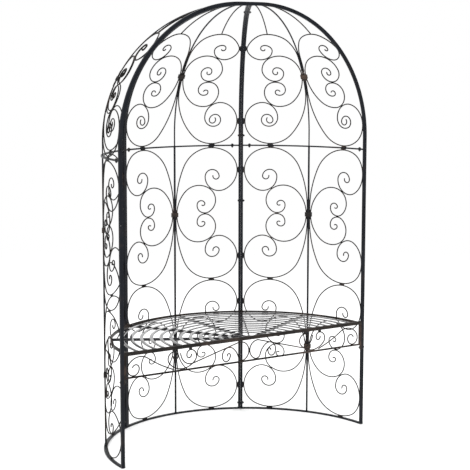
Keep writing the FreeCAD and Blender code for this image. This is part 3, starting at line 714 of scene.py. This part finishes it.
print(fillets, "fillets")

# %% [markdown]
# ## Bolts, nuts and washers
# Their CAD solids have the right size but no socket and no thread. A bolt is a turned part, so
# its outline is spun round its axis. The thread is cut as rings, which look the same as a
# spiral at this size, and the socket is made by pressing the round recess to a hexagon.

# %% Turn an outline round its axis
turn_steps = 18
sixth = math.pi / 3


def spin_outline(outline):
    """Spins an outline of (radius, height) pairs round Z to a closed shell."""
    bm = bmesh.new()
    verts = [bm.verts.new((radius, 0, height)) for radius, height in outline]
    edges = [bm.edges.new(pair) for pair in zip(verts, verts[1:])]
    bmesh.ops.spin(bm, geom=verts + edges, cent=(0, 0, 0), axis=(0, 0, 1), dvec=(0, 0, 0),
                   angle=2 * math.pi, steps=turn_steps, use_merge=True, use_duplicate=False)
    bmesh.ops.remove_doubles(bm, verts=bm.verts, dist=merge_distance)
    bmesh.ops.recalc_face_normals(bm, faces=bm.faces)
    return bm


def press_to_hexagon(bm, half_width, only_beyond):
    """Moves points to a hexagon: all beyond its flats, or only the ring of that radius."""
    for vertex in bm.verts:
        flat = Vector((vertex.co.x, vertex.co.y))
        if flat.length < merge_distance:
            continue
        reach = half_width / math.cos((math.atan2(flat.y, flat.x) % sixth) - sixth / 2)
        on_recess = abs(flat.length - half_width) < merge_distance
        if (flat.length > reach) if only_beyond else on_recess:
            vertex.co.x *= reach / flat.length
            vertex.co.y *= reach / flat.length


# %% A domed socket bolt
pitch, thread_depth = 1.0 * mm, 0.5 * mm
longest_thread, thread_share = 9 * mm, 0.6
socket_share, socket_depth_share = 0.42, 0.6    # of the head's radius and height
socket_lip, socket_chamfer = 0.25 * mm, 0.05 * mm
dome_turn, dome_steps, dome_rim = math.radians(85), 4, 0.15
rim_height, rim_chamfer, tip_chamfer = 0.3 * mm, 0.2 * mm, 0.6 * mm


def turned_bolt(shank, head, head_height, length):
    """The head stands above zero and the shank runs down to -length."""
    socket = socket_share * head
    crown = socket + socket_lip
    socket_floor = (1 - socket_depth_share) * head_height
    outline = [(0, socket_floor), (socket, socket_floor), (socket, head_height - socket_chamfer),
               (crown, head_height)]
    for step in range(1, dome_steps + 1):
        turn = dome_turn * step / dome_steps
        outline.append((crown + (head - crown) * math.sin(turn) / math.sin(dome_turn),
                        head_height * (dome_rim + (1 - dome_rim) * math.cos(turn))))
    outline += [(head, rim_height), (head - rim_chamfer, 0), (shank, 0)]
    height = -length + min(thread_share * length, longest_thread)
    outline.append((shank, height))
    while height - pitch > -length + pitch / 2:
        outline += [(shank - thread_depth, height - pitch / 2), (shank, height - pitch)]
        height -= pitch
    outline += [(shank - tip_chamfer, -length), (0, -length)]
    bm = spin_outline(outline)
    press_to_hexagon(bm, socket, False)
    return bm


# %% A hexagon nut and a washer
nut_face, nut_chamfer, washer_edge = 0.95, 0.5 * mm, 0.25 * mm


def turned_ring(bore, face, rim, half, chamfer):
    """A ring whose flat faces run from the bore to where its rim's chamfers start."""
    return spin_outline([(bore, -half), (face, -half), (rim, -half + chamfer),
                         (rim, half - chamfer), (face, half), (bore, half), (bore, -half)])


def turned_nut(half_width, height, bore):
    """A hexagon nut, measured across its flats."""
    corner = half_width / math.cos(sixth / 2)
    bm = turned_ring(bore, half_width * nut_face, corner, height / 2, nut_chamfer)
    press_to_hexagon(bm, half_width, True)
    return bm


def turned_washer(half_width, height, bore):
    """A flat washer with its edges knocked off."""
    return turned_ring(bore, half_width - washer_edge, half_width, height / 2, washer_edge)


# %% [markdown]
# ### Each detailed fastener in its CAD solid's place
# Nothing says which CAD solid is a bolt, a nut or a washer, or which way it points, but its
# shape does. A bolt is long, a washer is much wider than it is thick, and the rest are nuts.
# So each one is measured along its own axis, and the turned part takes those sizes.

# %% Measure a CAD fastener
shortest_bolt = 7 * mm
washer_flatness = 4         # a washer is wider than this many of its thickness
head_share = 0.97           # points this near the widest belong to the head
thinnest_shank = 1 * mm


def fastener_axis(points):
    """A fastener's axis: the way in which it differs from round."""
    cloud = numpy.array(points)
    values, ways = numpy.linalg.eigh(numpy.cov((cloud - cloud.mean(0)).T))
    return Vector(ways[:, 0] if values[1] - values[0] > values[2] - values[1] else ways[:, 2])


def detailed(points):
    """The detailed bolt, nut or washer for one CAD solid, in its place."""
    centre, axis = middle_of(points), fastener_axis(points)
    reach = [(point - centre).dot(axis) for point in points]
    width = [((point - centre) - axis * r).length for point, r in zip(points, reach)]
    length, wide, narrow = max(reach) - min(reach), max(width), min(width)
    middle = centre + axis * (max(reach) + min(reach)) / 2
    if length > shortest_bolt:
        head_reach = [r for r, w in zip(reach, width) if w > head_share * wide]
        if sum(head_reach) < 0:
            axis, reach, head_reach = -axis, [-r for r in reach], [-r for r in head_reach]
        seat = min(head_reach)
        shank = min(w for w in width if w > thinnest_shank)
        bm = turned_bolt(shank, wide, max(reach) - seat, seat - min(reach))
        middle = centre + axis * seat
    elif wide > washer_flatness * length:
        bm = turned_washer(wide, length, narrow)
    else:
        bm = turned_nut(wide * math.cos(sixth / 2), length, narrow)
    turn = axis.to_track_quat("Z", "Y").to_matrix().to_4x4()
    bmesh.ops.transform(bm, matrix=Matrix.Translation(middle) @ turn, verts=bm.verts)
    return bm


# %% Put the detailed ones in place
for node in ("joint_bolts_and_nuts", "spring_bolts_and_nuts", "bench_bolts_and_nuts"):
    whole = bmesh.new()
    solids = solids_of(node)
    for points in solids:
        bm = detailed(points)
        part = bpy.data.meshes.new("one fastener")
        bm.to_mesh(part)
        bm.free()
        whole.from_mesh(part)
        bpy.data.meshes.remove(part)
    keep_piece(whole, node.replace("and", "with"), "fastener_coating", node)
    print(node, len(solids), "fasteners turned")

# %% [markdown]
# ## Floor and light
# Dark steel is seen by what it reflects, so the light is a large pale surround: it draws the
# soft grey line along each tube and makes the seat's slats shine where they are seen at a low
# angle. One broad lamp from the left front gives the tubes a brighter side, and a weaker one
# high up lights the tops of the slats.
# The floor is a pale disc whose rim fades out, so that no horizon cuts through the arches.

# %% Pale floor
floor_radius = 14.0
fade_from, fade_to = 2.0, 6.0       # metres from the middle, where the floor fades out
below_feet = 0.5 * mm
bm = bmesh.new()
bmesh.ops.create_circle(bm, cap_ends=True, segments=96, radius=floor_radius,
                        matrix=Matrix.Translation((0, 0, -below_feet)))
mesh = bpy.data.meshes.new("floor")
bm.to_mesh(mesh)
bm.free()
floor = bpy.data.objects.new("floor", mesh)
bpy.context.scene.collection.objects.link(floor)
paper = bpy.data.materials.new("pale paper floor")
paper.use_nodes = True
tree = paper.node_tree
sheet = tree.nodes["Principled BSDF"]
sheet.inputs["Base Color"].default_value = (0.98, 0.98, 0.98, 1)
sheet.inputs["Roughness"].default_value = 0.9
sheet.inputs["Specular IOR Level"].default_value = 0.1
distance = add_node(tree, "ShaderNodeVectorMath", operation="LENGTH")
tree.links.new(tree.nodes.new("ShaderNodeTexCoord").outputs["Object"], distance.inputs[0])
fade = ramp(tree, distance.outputs["Value"], fade_from, fade_to, 1.0, 0.0)
tree.links.new(fade, sheet.inputs["Alpha"])
mesh.materials.append(paper)
print("floor", 2 * floor_radius, "m across, faded out at", fade_to, "m")

# %% Soft light
world = bpy.data.worlds.new("pale studio")
world.use_nodes = True
world.node_tree.nodes["Background"].inputs["Color"].default_value = (1, 1, 1, 1)
world.node_tree.nodes["Background"].inputs["Strength"].default_value = 1.0
bpy.context.scene.world = world
bpy.context.scene.view_settings.view_transform = "Standard"


def soft_lamp(name, place, aim, size, power):
    """A square lamp that faces a point."""
    lamp = bpy.data.objects.new(name, bpy.data.lights.new(name, "AREA"))
    lamp.data.size, lamp.data.energy = size, power
    lamp.location = place
    lamp.rotation_euler = (Vector(aim) - Vector(place)).to_track_quat("-Z", "Y").to_euler()
    bpy.context.scene.collection.objects.link(lamp)
    print(name, power, "W")


soft_lamp("left front lamp", place=(-3.2, -3.0, 3.6), aim=(0, 0, 0.9), size=2.4, power=150)
soft_lamp("high lamp", place=(1.2, 1.5, 5.0), aim=(0, 0, 0.5), size=3.0, power=90)

# %% [markdown]
# ## A camera at a standing eye
# A portrait lens from six metres keeps the verticals calm and shows into the half dome.
# The camera stands to the left of the opening, at eye height, and looks slightly down, so that
# the front rail, the slats and the inside of the back screen are all seen at once.

# %% Camera
sensor_width, lens = 36.0, 104.717       # millimetres, as Blender counts them
looks_down, leans, turned = 7.534, 0.096, 33.471       # degrees
camera = bpy.data.objects.new("camera", bpy.data.cameras.new("camera"))
camera.data.sensor_width = sensor_width
camera.data.lens = lens
camera.location = (-3.2276, -5.0774, 1.6787)
camera.rotation_euler = [math.radians(angle) for angle in (90 - looks_down, -leans, -turned)]
bpy.context.scene.collection.objects.link(camera)
bpy.context.scene.camera = camera
print("camera", round((camera.location - plan_centre).length, 2), "m from the plan's centre")
